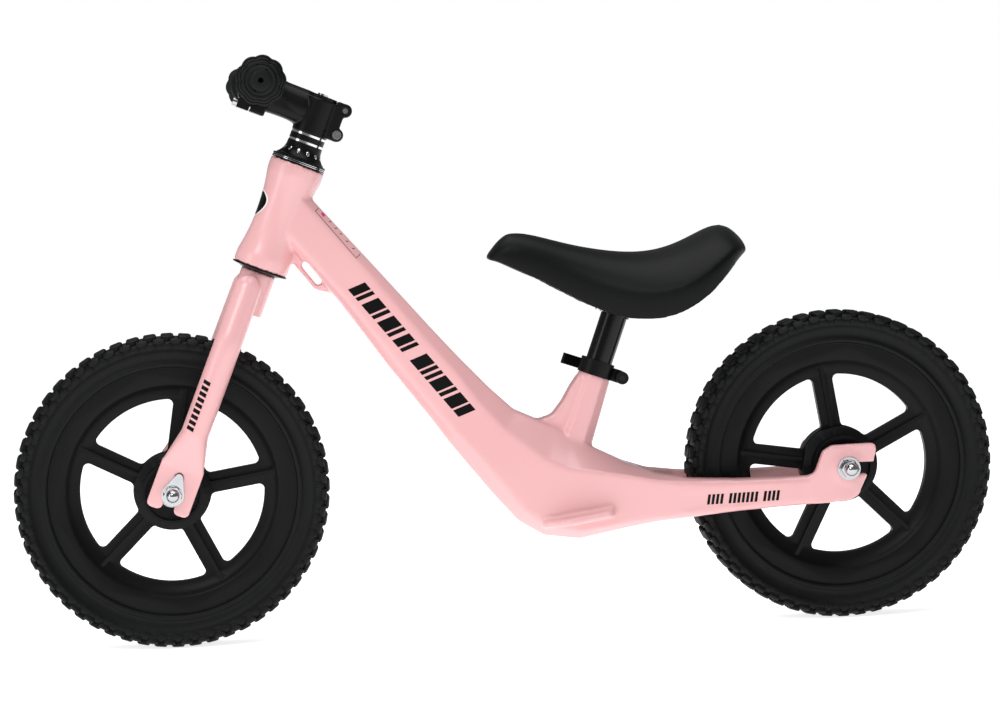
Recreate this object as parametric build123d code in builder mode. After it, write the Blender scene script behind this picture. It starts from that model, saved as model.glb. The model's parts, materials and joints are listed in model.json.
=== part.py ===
"""Balance bike: cast frame, unicrown fork, two five-spoke wheels, headset, stem, bar and sliding saddle.

Millimetres. +X is the riding direction, +Y the rider's left, +Z up.
The origin is on the ground, midway between the axles.
"""
import os
from math import cos, radians, sin

from build123d import *

os.makedirs("parts", exist_ok=True)

# ------------------------------------------------------------------ driving dimensions
wheelbase = 635.0
wheel_diameter = 295.0
head_angle = 22.0  # steering axis, leaning back from upright
fork_rake = 5.5  # axle ahead of the steering axis
seat_angle = 20.0  # seat tube, leaning back from upright
seat_rim_ahead = 233.0  # centre of the seat tube's rim, ahead of the rear axle
seat_rim_above = 93.0  # and above it
tyre_to_head_tube = 76.0  # along the steering axis
head_tube_length = 103.5

running = 0.05  # radial gap of a bearing or pivot
gap = 0.3  # gap between pieces that move past each other

# wheel
tyre_width = 45.0
tyre_seat_radius = wheel_diameter / 2 - 32.5
rim_band_width = 24.0
rim_band_inner_radius = tyre_seat_radius - 14.0
rim_inner_radius = tyre_seat_radius - 28.4
rim_dish_radius = tyre_seat_radius - 21.0  # the rim's inner face curves out from here to the band
spoke_count = 5
spoke_width = 19.0
spoke_web = 8.0
spoke_rib_width = 3.6
spoke_rib_depth = 16.0
window_corner = 5.0
window_lip = 0.6
hub_flange_radius = 36.0
hub_flange_width = 30.0
hub_barrel_radius = 28.5
hub_width = 60.0
hub_wall = 3.0
front_spoke_phase = 8.9
rear_spoke_phase = 27.5

# axles and bearings
axle_diameter = 10.0
bearing_outer = axle_diameter + 16.0
bearing_width = 8.0
sleeve_outer = axle_diameter + 5.0
spacer_outer = axle_diameter + 6.0
slot_width = axle_diameter + 1.0
front_dropout_inner = 36.5  # from the mid plane
front_dropout_thickness = 5.0
rear_dropout_inner = 41.5
rear_dropout_thickness = 9.5
rear_boss_height = 0.6
rear_boss_radius = 15.7
washer_thickness = 1.8
nut_hex_height = 6.5
nut_across_flats = axle_diameter * 1.5
nut_dome_radius = axle_diameter * 0.62
rear_washer_radius = axle_diameter / 2 + 6.0
axle_thread_in_nut = 9.0

# head tube and headset, measured along the steering axis from the front axle's level
head_tube_bottom = wheel_diameter / 2 + tyre_to_head_tube
head_tube_top = head_tube_bottom + head_tube_length
steerer_diameter = 28.6
steerer_wall = 1.8
head_bearing_outer = steerer_diameter + 12.4
head_tube_radius = head_bearing_outer / 2 + 5.5
head_tube_waist_radius = steerer_diameter / 2 + 7.3
head_tube_lip = 11.0
head_tube_bore_radius = steerer_diameter / 2 + 2.2
head_bearing_height = 7.0
cup_wall = 1.5
cup_flange = 1.2
cup_floor = 1.5
cup_depth = 9.5
lower_cup_skirt = 2.2
crown_race_height = 1.0
cover_height = 19.0
cover_rim_height = 3.0
cover_top_radius = steerer_diameter / 2 + 2.5
pocket_count = 12
pocket_radius = 2.8
pocket_depth = 1.6
spacer_radius = steerer_diameter / 2 + 2.3
spacer_height = 5.4
ring_height = 2.0

# fork
crown_tube_radius = steerer_diameter / 2 + 2.2
crown_tube_length = 40.0
fork_leg_diameter = 26.0
fork_leg_offset = 39.0  # leg centre from the mid plane, beside the tyre
fork_leg_top_offset = 26.0
fork_leg_top = head_tube_bottom - 20.5
fork_leg_straight_from = fork_leg_top - 55.0
fork_flat_from = 60.0
fork_flat_to = 26.0
fork_plate_width = 41.0
fork_tip_radius = 5.0
fork_plate_end = 17.0
tab_hole_radius = 3.0
tab_hole_height = 17.0
tab_hole_play = 0.6

# stem and handlebar
stem_height = 35.0
stem_wall = 2.6
stem_reach = 60.0
stem_arm_width = 27.0
stem_arm_height = 28.0
bar_diameter = 22.2
bar_wall = 2.0
bar_clamp_radius = 16.5
bar_clamp_width = 38.0
bar_half_width = 202.0
bar_rise = 7.0
bar_forward = 4.0
grip_length = 96.0
grip_radius = 15.0
grip_end_radius = 21.8
grip_end_wall = 4.0
grip_lobes = 6
ear_bolt_radius = 2.5
ear_radius = 6.4
ear_bolt_reach = 24.0
ear_bolt_spread = 24.0
face_bolt_spread = 29.6
face_pad_height = 8.0
face_bolt_pitch = 26.0
face_bolt_radius = 2.5
top_cap_radius = steerer_diameter / 2 + 0.2
top_cap_height = 3.2

# seat
post_diameter = 25.4
post_wall = 2.0
post_above_rim = 69.0
post_below_rim = 100.0
post_bore_depth = 137.0
seat_tube_top_radius = post_diameter / 2 + 3.7
seat_tube_base_radius = seat_tube_top_radius + 4.1
seat_tube_depth = 96.0
seat_neck_wall = 1.8
collar_height = 14.6
collar_wall = 2.4
clamp_ear_reach = 24.2
clamp_ear_width = 8.0  # ear's outer face from the mid plane
clamp_bolt_height = 6.0
clamp_bolt_radius = 2.5
clamp_pivot_out = 15.8
lever_height = 10.4
lever_reach = 32.0
bracket_thickness = 2.5
bracket_socket_wall = 1.6
bracket_socket_length = 9.0
bracket_plate_length = 44.0
bracket_plate_width = 44.0
bracket_bolt_radius = 2.5
pan_thickness = 3.0
pan_recess = 14.0  # pan's underside above the pad's lower edge
pan_inset = 7.0  # pad's skirt outside the pan
wing_thickness = 7.0
wing_half_width = 63.0
crotch_radius = 14.0
tow_slot_length = 27.0
tow_slot_width = 6.8

# ------------------------------------------------------------------ working planes
axle_height = wheel_diameter / 2
front_axle = Vector(wheelbase / 2, 0, axle_height)
rear_axle_point = Vector(-wheelbase / 2, 0, axle_height)
forward = Vector(cos(radians(head_angle)), 0, sin(radians(head_angle)))
up_steer = Vector(-sin(radians(head_angle)), 0, cos(radians(head_angle)))
steer_origin = front_axle - forward * fork_rake
steer_base = Plane(origin=steer_origin, x_dir=forward, z_dir=up_steer)
steer_side = Plane(origin=steer_origin, x_dir=forward, z_dir=(0, -1, 0))
steer_axis = Axis(steer_origin, up_steer)
seat_forward = Vector(cos(radians(seat_angle)), 0, sin(radians(seat_angle)))
up_seat = Vector(-sin(radians(seat_angle)), 0, cos(radians(seat_angle)))
seat_origin = rear_axle_point + Vector(seat_rim_ahead, 0, seat_rim_above)
seat_base = Plane(origin=seat_origin, x_dir=seat_forward, z_dir=up_seat)
seat_side = Plane(origin=seat_origin, x_dir=seat_forward, z_dir=(0, -1, 0))
left = Vector(0, 1, 0)

axle_radius = axle_diameter / 2
steerer_radius = steerer_diameter / 2
cup_radius = head_bearing_outer / 2 + cup_wall
post_radius = post_diameter / 2
bar_radius = bar_diameter / 2
hub_half = hub_width / 2
front_outer = front_dropout_inner + front_dropout_thickness
rear_outer = rear_dropout_inner + rear_dropout_thickness + rear_boss_height


def ring(plane, outer, inner, height):
    """A plain ring standing on a plane."""
    with BuildPart() as piece:
        with BuildSketch(plane):
            Circle(outer)
            Circle(inner, mode=Mode.SUBTRACT)
        extrude(amount=height)
    return piece.part


def across(centre, y):
    """A plane facing the rider's left, at a distance from the mid plane."""
    return Plane(origin=(centre.X, y, centre.Z), x_dir=(-1, 0, 0), z_dir=(0, 1, 0))


# ------------------------------------------------------------------ frame casting
def box_section(top, bottom, half_width, top_bevel, bottom_bevel):
    """An eight-sided section between a point on the top line and one on the bottom line."""
    high = Vector(top[0], 0, top[1])
    low = Vector(bottom[0], 0, bottom[1])
    rise = (high - low).normalized()
    half = (high - low).length / 2
    plane = Plane(origin=(high + low) / 2, x_dir=left, z_dir=left.cross(rise))
    top_in, top_down = top_bevel
    bottom_in, bottom_up = bottom_bevel
    corner_points = [
        (half_width - top_in, half),
        (half_width, half - top_down),
        (half_width, bottom_up - half),
        (half_width - bottom_in, -half),
        (bottom_in - half_width, -half),
        (-half_width, bottom_up - half),
        (-half_width, half - top_down),
        (top_in - half_width, half),
    ]
    with BuildSketch(plane) as outline:
        Polygon(*corner_points, align=None)
    return outline.sketch


rear_x = rear_axle_point.X
rear_z = rear_axle_point.Z
stay_outer = rear_dropout_inner + rear_dropout_thickness
head_foot = steer_origin + up_steer * head_tube_bottom


def from_point(anchor, stations):
    """Stations whose two points are given from an anchor, moved into place."""
    placed = []
    for top, bottom, half_width, top_bevel, bottom_bevel in stations:
        high = (anchor.X + top[0], anchor.Z + top[1])
        low = (anchor.X + bottom[0], anchor.Z + bottom[1])
        placed.append((high, low, half_width, top_bevel, bottom_bevel))
    return placed


# top point, bottom point, half width, top bevel, bottom bevel
tube_stations = from_point(head_foot, [
    ((-40.7, 74.3), (-6.7, 46.3), 19, (8, 7), (6, 5)),
    ((-108.7, -3.7), (-72.7, -32.7), 21, (9, 8), (7, 6)),
    ((-159.2, -62.4), (-116.7, -94.7), 23.5, (11, 11), (8, 8)),
])
body_stations = from_point(rear_axle_point, [
    ((362.8, 115.6), (388.1, 55.4), 25.2, (12, 13), (9, 9)),
    ((335.0, 86.0), (375.0, 37.0), 27.5, (14, 17), (10, 10)),
    ((311.0, 63.5), (355.0, 11.5), 31, (17, 20), (12, 12)),
    ((292.5, 55.0), (333.0, -16.0), 34.5, (20, 25), (13, 13)),
    ((274.0, 46.0), (312.0, -40.0), 37.5, (23, 30), (13, 12)),
    ((256.0, 36.5), (288.0, -54.5), 40, (25, 29), (13, 10)),
    ((235.0, 24.0), (255.0, -58.6), 42, (26, 19), (12, 9)),
    ((206.0, 9.5), (212.0, -49.9), 44, (24, 9), (10, 7)),
    ((181.0, 0.2), (182.0, -44.5), 46, (11, 5), (8, 5)),
    ((149, -4.5), (149, -41.2), stay_outer - 3, (5, 4), (5, 4)),
    ((108, -6.5), (108, -37.1), stay_outer - 1.6, (4, 3), (4, 3)),
    ((67, -6.5), (67, -34.5), stay_outer - 0.6, (4, 3), (4, 3)),
    ((26, -5.7), (26, -32.7), stay_outer, (4, 3), (4, 3)),
])
tyre_gap = tyre_width / 2 + 5

with BuildPart() as main_body:
    add([box_section(*station) for station in tube_stations + body_stations])
    loft(ruled=True)

with BuildPart() as head_tube:
    with BuildSketch(steer_side):
        with BuildLine():
            Polyline(
                (0, head_tube_top),
                (head_tube_radius, head_tube_top),
                (head_tube_radius, head_tube_top - head_tube_lip),
            )
            ThreePointArc(
                (head_tube_radius, head_tube_top - head_tube_lip),
                (head_tube_waist_radius, (head_tube_top + head_tube_bottom) / 2),
                (head_tube_radius, head_tube_bottom + head_tube_lip),
            )
            Polyline(
                (head_tube_radius, head_tube_bottom + head_tube_lip),
                (head_tube_radius, head_tube_bottom),
                (0, head_tube_bottom),
                (0, head_tube_top),
            )
        make_face()
    revolve(axis=steer_axis)

with BuildPart() as seat_tube:
    with BuildSketch(seat_base.offset(-seat_tube_depth)):
        RegularPolygon(seat_tube_base_radius, 8, rotation=22.5)
    with BuildSketch(seat_base):
        RegularPolygon(seat_tube_top_radius, 8, rotation=22.5)
    loft()

seat_root_half_width = 11.0
seat_root_radius = 12.0
with BuildPart() as seat_root:
    # webs that carry the seat tube into the body, in front of it and behind
    with BuildSketch(Plane(origin=rear_axle_point, x_dir=(1, 0, 0), z_dir=(0, -1, 0))) as root_outline:
        Polygon(
            (300, 50), (275, 57), (265, 69.5), (256.5, 84), (248.5, 95), (240, 40),
            (238.5, 24), (230, 18.5), (212, 12), (240, 0), align=None,
        )
        fillet(root_outline.vertices().group_by(Axis.X)[-2], seat_root_radius)
    extrude(amount=seat_root_half_width, both=True)

tow_slot_middle = (-48.4, -6.3)  # from the foot of the head tube
tow_slot_turn = 52.7
tow_plane = Plane(origin=head_foot, x_dir=(1, 0, 0), z_dir=(0, -1, 0))
with BuildPart() as tow_loop:
    with BuildSketch(tow_plane):
        Polygon(
            (-29.7, 19.3), (-31.7, 3.3), (-50.7, -21.2), (-66.7, -25.7),
            (-78.7, -38.7), (-88.7, -32.7), (-48.7, 19.3), align=None,
        )
    extrude(amount=5, both=True)

with BuildPart() as dropout:
    with BuildSketch(across(rear_axle_point, rear_dropout_inner)):
        with BuildLine():
            Polyline(
                (-34, -32.6), (-25, -32.6), (1, -30.8), (9.5, -26), (18, -7), (24.5, 6), (27.5, 18),
                (25.6, 22.9), (-15, 22.3), (-24, 17), (-32, -3), (-38, -5.7), close=True,
            )
        make_face()
    extrude(amount=rear_dropout_thickness)
    fillet(edges().filter_by(Axis.Y).group_by(Axis.Z)[-1], 3)
    with BuildSketch(across(rear_axle_point, stay_outer)):
        Circle(rear_boss_radius)
    extrude(amount=rear_boss_height)
    with BuildSketch(across(rear_axle_point, rear_dropout_inner - 1)):
        with Locations((30, 0)):
            SlotCenterToCenter(60, slot_width)
    extrude(amount=rear_dropout_thickness + 5, mode=Mode.SUBTRACT)

wing_slope = radians(9)
wing_plane = Plane(
    origin=rear_axle_point + Vector(260.5, 0, -38),
    x_dir=(-cos(wing_slope), 0, sin(wing_slope)),
    z_dir=(sin(wing_slope), 0, cos(wing_slope)),
)
with BuildPart() as wing:
    # side footrest: a shelf that rises rearwards beside the bottom of the casting
    with BuildSketch(wing_plane):
        Polygon(
            (-31, -30), (-30.5, -41), (-8, -wing_half_width), (32, -wing_half_width), (37, -56), (37, -30),
            align=None,
        )
    extrude(amount=wing_thickness / 2, both=True)
    fillet(edges().filter_by(GeomType.LINE).group_by(Axis.Y)[-1], wing_thickness * 0.4)

stay_taper = radians(1.9)
panel_depth = 2.0
panel_plane = Plane(
    origin=rear_axle_point + Vector(103, stay_outer - panel_depth, 0),
    x_dir=(-cos(stay_taper), sin(stay_taper), 0),
    z_dir=(sin(stay_taper), cos(stay_taper), 0),
)
with BuildPart() as stay_panel:
    # shallow panel in the stay's outer face, fading out towards the front
    with BuildSketch(panel_plane):
        Polygon((-56, -18.5), (58, -14), (52, -28), (-60, -35), align=None)
    extrude(amount=12)

with BuildPart() as frame:
    add(main_body.part)
    # gap for the rear wheel, opening from a round crotch to the dropouts
    with BuildSketch(Plane.XY.offset(rear_z - 90)):
        with BuildLine():
            Polyline(
                (rear_x + 178, crotch_radius), (rear_x + 156, tyre_gap), (rear_x + 60, tyre_gap + 5),
                (rear_x + 28, rear_dropout_inner), (rear_x - 60, rear_dropout_inner), (rear_x - 60, 0),
                (rear_x + 178 + crotch_radius, 0),
            )
            RadiusArc((rear_x + 178 + crotch_radius, 0), (rear_x + 178, crotch_radius), -crotch_radius)
        make_face()
        mirror(about=Plane.XZ)
    extrude(amount=180, mode=Mode.SUBTRACT)
    add(stay_panel.part, mode=Mode.SUBTRACT)
    add(stay_panel.part.mirror(Plane.XZ), mode=Mode.SUBTRACT)
    add(wing.part)
    add(wing.part.mirror(Plane.XZ))
    add(dropout.part)
    add(dropout.part.mirror(Plane.XZ))
    add(seat_tube.part)
    add(seat_root.part)
    add(tow_loop.part)
    add(head_tube.part)
    # neck under the seat clamp, post bore and clamping slit
    with BuildSketch(seat_base.offset(-4)):
        Circle(post_radius + running + seat_neck_wall)
    extrude(amount=collar_height + 3)
    with BuildSketch(seat_base.offset(collar_height)):
        Circle(post_radius + running)
    extrude(amount=-post_bore_depth - collar_height, mode=Mode.SUBTRACT)
    with BuildSketch(seat_base.offset(-16)):
        with Locations((-seat_tube_top_radius, 0)):
            Rectangle(seat_tube_top_radius * 1.2, 2.4)
    extrude(amount=collar_height + 16, mode=Mode.SUBTRACT)
    # head tube bore and cup seats
    with BuildSketch(steer_base.offset(head_tube_bottom - 1)):
        Circle(head_tube_bore_radius)
    extrude(amount=head_tube_top - head_tube_bottom + 2, mode=Mode.SUBTRACT)
    with BuildSketch(steer_base.offset(head_tube_top)):
        Circle(cup_radius)
    extrude(amount=-cup_depth, mode=Mode.SUBTRACT)
    with BuildSketch(steer_base.offset(head_tube_bottom)):
        Circle(cup_radius)
    extrude(amount=cup_depth, mode=Mode.SUBTRACT)
    # slot of the tow loop
    with BuildSketch(tow_plane):
        with Locations(tow_slot_middle):
            SlotOverall(tow_slot_length, tow_slot_width, rotation=tow_slot_turn)
    extrude(amount=20, both=True, mode=Mode.SUBTRACT)
frame.part.label = "frame"
export_step(frame.part, "parts/frame.step")

# ------------------------------------------------------------------ headset, frame side
with BuildPart() as upper_headset_cup:
    with BuildSketch(steer_side):
        Polygon(
            (cup_radius, head_tube_top - cup_depth),
            (cup_radius, head_tube_top),
            (head_tube_radius - 0.4, head_tube_top),
            (head_tube_radius - 0.4, head_tube_top + cup_flange),
            (head_bearing_outer / 2, head_tube_top + cup_flange),
            (head_bearing_outer / 2, head_tube_top - cup_depth + cup_floor),
            (head_tube_bore_radius, head_tube_top - cup_depth + cup_floor),
            (head_tube_bore_radius, head_tube_top - cup_depth),
            align=None,
        )
    revolve(axis=steer_axis)
upper_headset_cup.part.label = "upper_headset_cup"
export_step(upper_headset_cup.part, "parts/upper_headset_cup.step")

with BuildPart() as lower_headset_cup:
    with BuildSketch(steer_side):
        Polygon(
            (cup_radius, head_tube_bottom + cup_depth),
            (cup_radius, head_tube_bottom),
            (head_tube_radius + 0.4, head_tube_bottom),
            (head_tube_radius + 0.4, head_tube_bottom - 1.2),
            (head_bearing_outer / 2 + 0.8, head_tube_bottom - lower_cup_skirt),
            (head_bearing_outer / 2, head_tube_bottom - lower_cup_skirt),
            (head_bearing_outer / 2, head_tube_bottom + cup_depth - cup_floor),
            (head_tube_bore_radius, head_tube_bottom + cup_depth - cup_floor),
            (head_tube_bore_radius, head_tube_bottom + cup_depth),
            align=None,
        )
    revolve(axis=steer_axis)
lower_headset_cup.part.label = "lower_headset_cup"
export_step(lower_headset_cup.part, "parts/lower_headset_cup.step")


def ball_bearing(plane, outer, inner, height):
    """A sealed bearing as one ring, with a shallow shield groove in both faces."""
    middle = (outer + inner) / 2
    shield = (outer - inner) * 0.3
    with BuildPart() as piece:
        with BuildSketch(plane):
            Circle(outer)
            Circle(inner, mode=Mode.SUBTRACT)
        extrude(amount=height)
        for level in (0, height - 0.4):
            with BuildSketch(plane.offset(level)):
                Circle(middle + shield)
                Circle(middle - shield, mode=Mode.SUBTRACT)
            extrude(amount=0.4, mode=Mode.SUBTRACT)
    return piece.part


upper_bearing_low = head_tube_top - cup_depth + cup_floor
lower_bearing_low = head_tube_bottom + cup_depth - cup_floor - head_bearing_height
bearing_bore = steerer_radius + running

upper_headset_bearing = ball_bearing(
    steer_base.offset(upper_bearing_low), head_bearing_outer / 2, bearing_bore, head_bearing_height)
upper_headset_bearing.label = "upper_headset_bearing"
export_step(upper_headset_bearing, "parts/upper_headset_bearing.step")

lower_headset_bearing = ball_bearing(
    steer_base.offset(lower_bearing_low), head_bearing_outer / 2, bearing_bore, head_bearing_height)
lower_headset_bearing.label = "lower_headset_bearing"
export_step(lower_headset_bearing, "parts/lower_headset_bearing.step")

# ------------------------------------------------------------------ headset, fork side
race_top = lower_bearing_low - gap
race_bottom = head_tube_bottom - lower_cup_skirt - gap
with BuildPart() as crown_race:
    with BuildSketch(steer_side):
        Polygon(
            (steerer_radius, race_top),
            (steerer_radius + 2.4, race_top),
            (head_bearing_outer / 2 - 1.0, race_bottom + crown_race_height),
            (head_bearing_outer / 2 - 1.0, race_bottom),
            (crown_tube_radius, race_bottom - crown_race_height),
            (steerer_radius, race_bottom - crown_race_height),
            align=None,
        )
    revolve(axis=steer_axis)
crown_race.part.label = "crown_race"
export_step(crown_race.part, "parts/crown_race.step")

upper_bearing_top = upper_bearing_low + head_bearing_height
cover_bottom = head_tube_top + cup_flange + gap
cover_top = cover_bottom + cover_height
compression_ring = ring(
    steer_base.offset(upper_bearing_top + gap), steerer_radius + 3, steerer_radius,
    cover_bottom + 4 - upper_bearing_top - gap)
compression_ring.label = "compression_ring"
export_step(compression_ring, "parts/compression_ring.step")

with BuildPart() as headset_cover:
    with BuildSketch(steer_side):
        with BuildLine():
            Polyline(
                (steerer_radius, cover_top),
                (cover_top_radius, cover_top),
                (cover_top_radius + 0.4, cover_top - 5),
            )
            ThreePointArc(
                (cover_top_radius + 0.4, cover_top - 5),
                (cover_top_radius + 2.6, cover_bottom + cover_rim_height + 5.2),
                (head_tube_radius - 3.4, cover_bottom + cover_rim_height + 1.4),
            )
            Polyline(
                (head_tube_radius - 3.4, cover_bottom + cover_rim_height + 1.4),
                (head_tube_radius - 3.4, cover_bottom + cover_rim_height),
                (head_tube_radius - 0.3, cover_bottom + cover_rim_height),
                (head_tube_radius - 0.3, cover_bottom),
                (steerer_radius + 3, cover_bottom),
                (steerer_radius + 3, cover_bottom + 4),
                (steerer_radius, cover_bottom + 4),
                (steerer_radius, cover_top),
            )
        make_face()
    revolve(axis=steer_axis)
    with Locations(steer_base.offset((cover_top + cover_bottom) / 2 + 1.0)):
        with PolarLocations(cover_top_radius + 1.5, pocket_count, start_angle=15):
            Cylinder(pocket_radius, pocket_depth * 2, rotation=(0, 90, 0), mode=Mode.SUBTRACT)
headset_cover.part.label = "headset_cover"
export_step(headset_cover.part, "parts/headset_cover.step")

spacer_bottom = cover_top + ring_height
stem_bottom = spacer_bottom + spacer_height + ring_height
stem_top = stem_bottom + stem_height
with BuildPart() as spacer_rings:
    for level in (cover_top, spacer_bottom + spacer_height):
        with BuildSketch(steer_base.offset(level)):
            Circle(spacer_radius - 0.3)
            Circle(steerer_radius, mode=Mode.SUBTRACT)
        extrude(amount=ring_height)
spacer_rings.part.label = "spacer_rings"
export_step(spacer_rings.part, "parts/spacer_rings.step")

headset_spacer = ring(steer_base.offset(spacer_bottom), spacer_radius, steerer_radius, spacer_height)
headset_spacer.label = "headset_spacer"
export_step(headset_spacer, "parts/headset_spacer.step")

# ------------------------------------------------------------------ fork
crown_top = race_bottom - crown_race_height
crown_bottom = crown_top - crown_tube_length
steerer_inner = steerer_radius - steerer_wall
steerer_foot = crown_bottom + 6
steerer_tube = ring(
    steer_base.offset(steerer_foot), steerer_radius, steerer_inner, stem_top - 2.5 - steerer_foot)
steerer_tube.label = "steerer_tube"
export_step(steerer_tube, "parts/steerer_tube.step")

leg_radius = fork_leg_diameter / 2
fork_out = Plane(origin=steer_origin + forward * fork_rake, x_dir=left, z_dir=forward)
leg_points = [
    (fork_leg_top_offset, fork_leg_top),
    (fork_leg_offset, fork_leg_straight_from),
    (fork_leg_offset, fork_flat_from),
]
with BuildPart() as fork_leg:
    with BuildLine(fork_out) as leg_path:
        FilletPolyline(*leg_points, radius=60)
    with BuildSketch(Plane(origin=leg_path.line @ 0, z_dir=leg_path.line % 0)):
        Circle(leg_radius)
    sweep()
    # round top of the leg
    with Locations(leg_path.line @ 0):
        Sphere(leg_radius)
    # the tube is pressed flat towards the dropout
    plate_middle = front_dropout_inner + front_dropout_thickness / 2
    with BuildSketch(steer_base.offset(fork_flat_from)):
        with Locations((fork_rake, fork_leg_offset)):
            RectangleRounded(fork_leg_diameter, fork_leg_diameter, leg_radius - 0.1)
    with BuildSketch(steer_base.offset(fork_flat_to)):
        with Locations((fork_rake, plate_middle)):
            RectangleRounded(fork_plate_width, front_dropout_thickness + 2, 2.5)
    loft()
    plate_plane = Plane(origin=steer_origin + left * front_dropout_inner, x_dir=forward, z_dir=left)
    with BuildSketch(plate_plane) as plate:
        Polygon(
            (fork_rake - fork_plate_width / 2, -fork_flat_to - 3),
            (fork_rake + fork_plate_width / 2, -fork_flat_to - 3),
            (fork_rake + fork_plate_width / 2, fork_plate_end),
            (fork_rake - fork_plate_width / 2, fork_plate_end),
            align=None,
        )
        with Locations((fork_rake, fork_plate_end)):
            Rectangle(slot_width, 2 * fork_plate_end, mode=Mode.SUBTRACT)
        fillet(plate.vertices().group_by(Axis.Y)[-1], fork_tip_radius)
    extrude(amount=front_dropout_thickness)
    # open slot for the axle and the hole for the washer's tab
    with BuildSketch(Plane(origin=steer_origin + left * (fork_leg_offset - 12), x_dir=forward, z_dir=left)):
        with Locations((fork_rake, 30)):
            SlotCenterToCenter(60, slot_width, rotation=90)
        with Locations((fork_rake, -tab_hole_height - tab_hole_play)):
            Circle(tab_hole_radius + tab_hole_play)
    extrude(amount=front_dropout_thickness + 20, mode=Mode.SUBTRACT)

with BuildPart() as fork:
    add(fork_leg.part)
    add(fork_leg.part.mirror(Plane.XZ))
    with BuildSketch(steer_base.offset(crown_top)):
        Circle(crown_tube_radius)
    extrude(amount=-crown_tube_length)
    with BuildSketch(steer_base.offset(crown_top)):
        Circle(steerer_radius)
    extrude(amount=-crown_tube_length + 6, mode=Mode.SUBTRACT)
    with BuildSketch(steer_base.offset(crown_bottom)):
        Circle(crown_tube_radius - 3)
    extrude(amount=6, mode=Mode.SUBTRACT)
fork.part.label = "fork"
export_step(fork.part, "parts/fork.step")

# ------------------------------------------------------------------ stem
bar_level = stem_bottom + stem_height / 2 + 2
ear_middle = stem_bottom + stem_height / 2 + 2.6
ear_levels = (ear_middle - ear_bolt_spread / 2, ear_middle + ear_bolt_spread / 2)
clamp_outer = steerer_radius + stem_wall
back_half_width = 10.0
face_pad_length = 13.0
arm_plane = Plane(origin=steer_origin + up_steer * bar_level, x_dir=left, z_dir=forward)
face_bolt_spots = [
    (y, side * face_bolt_spread / 2) for side in (-1, 1) for y in (-face_bolt_pitch / 2, face_bolt_pitch / 2)]
with BuildPart() as stem:
    with BuildSketch(steer_base.offset(stem_bottom)):
        Circle(clamp_outer)
    extrude(amount=stem_height)
    # tapered arm from the steerer clamp to the bar clamp
    with BuildSketch(arm_plane.offset(8)):
        RectangleRounded(stem_arm_width, stem_height - 5, 10)
    with BuildSketch(arm_plane.offset(30)):
        RectangleRounded(stem_arm_width - 1, stem_arm_height - 1, 9)
    with BuildSketch(arm_plane.offset(52)):
        RectangleRounded(bar_clamp_width - 4, stem_arm_height + 1, 9)
    loft()
    # flat-sided back of the steerer clamp, between the arm and the ears
    with BuildSketch(steer_side):
        with Locations((-ear_bolt_reach / 2 - 1, ear_middle)):
            RectangleRounded(ear_bolt_reach - 1, stem_height - 6, 4)
    extrude(amount=back_half_width, both=True)
    with BuildSketch(steer_side):
        with Locations((stem_reach, bar_level)):
            Circle(bar_clamp_radius)
    extrude(amount=bar_clamp_width / 2, both=True)
    # pads for the faceplate bolts
    for side in (-1, 1):
        with BuildSketch(steer_side):
            with Locations((stem_reach - 7, bar_level + side * face_bolt_spread / 2)):
                Rectangle(14, face_pad_height)
        extrude(amount=bar_clamp_width / 2, both=True)
    # split ears behind the steerer
    for level in ear_levels:
        with BuildSketch(steer_side):
            with Locations((-ear_bolt_reach, level)):
                Circle(ear_radius)
            with Locations((-(ear_bolt_reach + top_cap_radius + 0.5) / 2, level)):
                Rectangle(ear_bolt_reach - top_cap_radius - 0.5, 2 * ear_radius - 0.4)
        extrude(amount=10, both=True)
    with BuildSketch(steer_base.offset(stem_bottom)):
        Circle(steerer_radius)
    extrude(amount=stem_height, mode=Mode.SUBTRACT)
    with BuildSketch(steer_base.offset(stem_bottom - 1)):
        with Locations((-ear_bolt_reach, 0)):
            Rectangle(2 * ear_bolt_reach, 2.4)
    extrude(amount=stem_height + 2, mode=Mode.SUBTRACT)
    with BuildSketch(steer_side):
        for level in ear_levels:
            with Locations((-ear_bolt_reach, level)):
                Circle(ear_bolt_radius)
    extrude(amount=20, both=True, mode=Mode.SUBTRACT)
    # half bore for the bar and everything ahead of the split cut away for the faceplate
    with BuildSketch(steer_side):
        with Locations((stem_reach, bar_level)):
            Circle(bar_radius)
        with Locations((stem_reach + 30, bar_level)):
            Rectangle(60, 60)
    extrude(amount=bar_clamp_width, both=True, mode=Mode.SUBTRACT)
    with BuildSketch(arm_plane.offset(stem_reach)):
        with Locations(*face_bolt_spots):
            Circle(face_bolt_radius)
    extrude(amount=-12, mode=Mode.SUBTRACT)
stem.part.label = "stem"
export_step(stem.part, "parts/stem.step")

face_gap = 1.2
with BuildPart() as stem_faceplate:
    with BuildSketch(steer_side):
        with Locations((stem_reach, bar_level)):
            Circle(bar_clamp_radius)
        for side in (-1, 1):
            with Locations((stem_reach + face_pad_length / 2, bar_level + side * face_bolt_spread / 2)):
                Rectangle(face_pad_length, face_pad_height)
        with Locations((stem_reach, bar_level)):
            Circle(bar_radius, mode=Mode.SUBTRACT)
        with Locations((stem_reach - 30 + face_gap, bar_level)):
            Rectangle(60, 60, mode=Mode.SUBTRACT)
    extrude(amount=bar_clamp_width / 2, both=True)
    # window between the bolt pairs
    with BuildSketch(arm_plane.offset(stem_reach + 8)):
        RectangleRounded(12, 20, 3)
    extrude(amount=20, mode=Mode.SUBTRACT)
    with BuildSketch(arm_plane.offset(stem_reach)):
        with Locations(*face_bolt_spots):
            Circle(face_bolt_radius)
    extrude(amount=20, mode=Mode.SUBTRACT)
stem_faceplate.part.label = "stem_faceplate"
export_step(stem_faceplate.part, "parts/stem_faceplate.step")


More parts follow.
